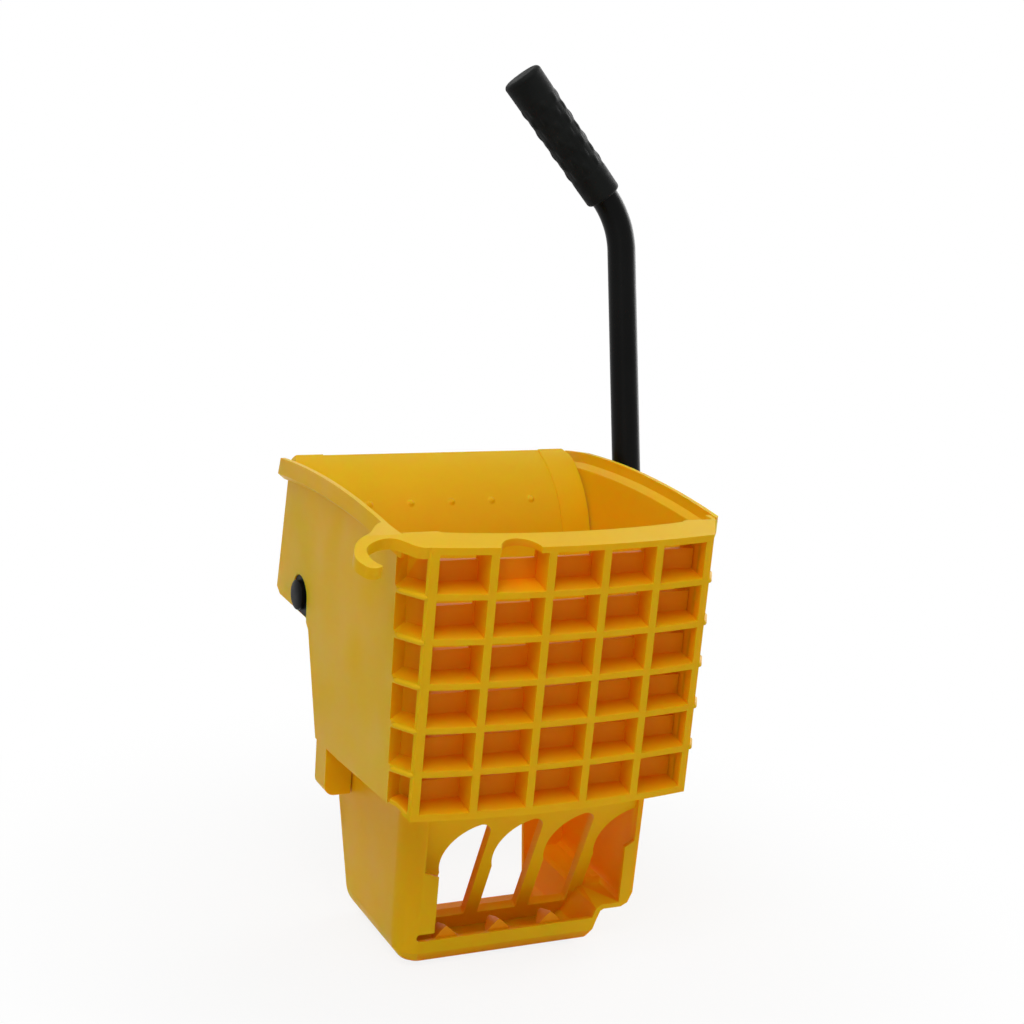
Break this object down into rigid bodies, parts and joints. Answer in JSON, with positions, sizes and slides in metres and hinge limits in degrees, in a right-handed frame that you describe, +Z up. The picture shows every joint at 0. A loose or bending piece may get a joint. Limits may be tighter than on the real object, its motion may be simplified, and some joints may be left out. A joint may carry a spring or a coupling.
{
  "type": "mop wringer",
  "caption": "Side-press mop wringer: moulded hopper with a waffle front wall and a drain box below, a hinged press plate and a bent lever with a rubber grip that drives it.",
  "frame": {"origin": "middle of the drain box's flat bottom face", "axes": "+Z up, -Y towards the waffle front wall, +X towards the lever"},
  "size_m": [0.3903, 0.3828, 0.6957],
  "materials": {
    "yellow_plastic": "satin moulding",
    "black_steel": "satin black paint",
    "black_rubber": "matt, nubby",
    "black_plastic": "satin",
    "white_nylon": "satin",
    "zinc_steel": "zinc plated"
  },
  "bodies": {
    "frame": {"axle_bush_left": "black_plastic", "axle_bush_right": "black_plastic", "axle_keeper_left": "yellow_plastic", "axle_keeper_right": "yellow_plastic", "box_screw_left_1": "zinc_steel", "box_screw_left_2": "zinc_steel", "box_screw_left_3": "zinc_steel", "box_screw_right_1": "zinc_steel", "box_screw_right_2": "zinc_steel", "box_screw_right_3": "zinc_steel", "drain_box": "yellow_plastic", "hinge_pin_left": "zinc_steel", "hinge_pin_right": "zinc_steel", "hopper_body": "yellow_plastic", "keeper_screw_left": "zinc_steel", "keeper_screw_right": "zinc_steel"},
    "lever": {"axle_cap": "black_plastic", "axle_collar_left": "zinc_steel", "axle_collar_right": "zinc_steel", "axle_tube": "black_steel", "collar_screw_left": "zinc_steel", "collar_screw_right": "zinc_steel", "crank_dowel_left": "zinc_steel", "crank_dowel_right": "zinc_steel", "crank_left": "black_steel", "crank_right": "black_steel", "handle_grip": "black_rubber", "hub_bolt": "zinc_steel", "hub_nut": "zinc_steel", "lever_bolt": "zinc_steel", "lever_nut": "zinc_steel", "lever_socket": "black_steel", "lever_tube": "black_steel", "roller_clip_left": "zinc_steel", "roller_clip_right": "zinc_steel", "roller_pin_left": "zinc_steel", "roller_pin_right": "zinc_steel"},
    "plate": {"press_plate": "yellow_plastic"},
    "roller_left": {"roller_left": "white_nylon"},
    "roller_right": {"roller_right": "white_nylon"}
  },
  "joints": [
    {"name": "lever_swing", "type": "hinge", "parent": "frame", "child": "lever", "pos_m": [0, 0.148, 0.254], "axis": [1, 0, 0], "range_deg": [0, 92]},
    {"name": "plate_press", "type": "hinge", "parent": "frame", "child": "plate", "pos_m": [0, 0.09636, 0.174], "axis": [1, 0, 0], "range_deg": [0, 44.98]},
    {"name": "roller_left_turn", "type": "hinge", "parent": "lever", "child": "roller_left", "pos_m": [-0.062, 0.19607, 0.33244], "axis": [1, 0, 0], "continuous": true},
    {"name": "roller_right_turn", "type": "hinge", "parent": "lever", "child": "roller_right", "pos_m": [0.062, 0.19607, 0.33244], "axis": [1, 0, 0], "continuous": true}
  ],
  "couplings": [
    {"joint": "plate_press", "follows": "lever_swing", "ratio": 0.48877}
  ]
}
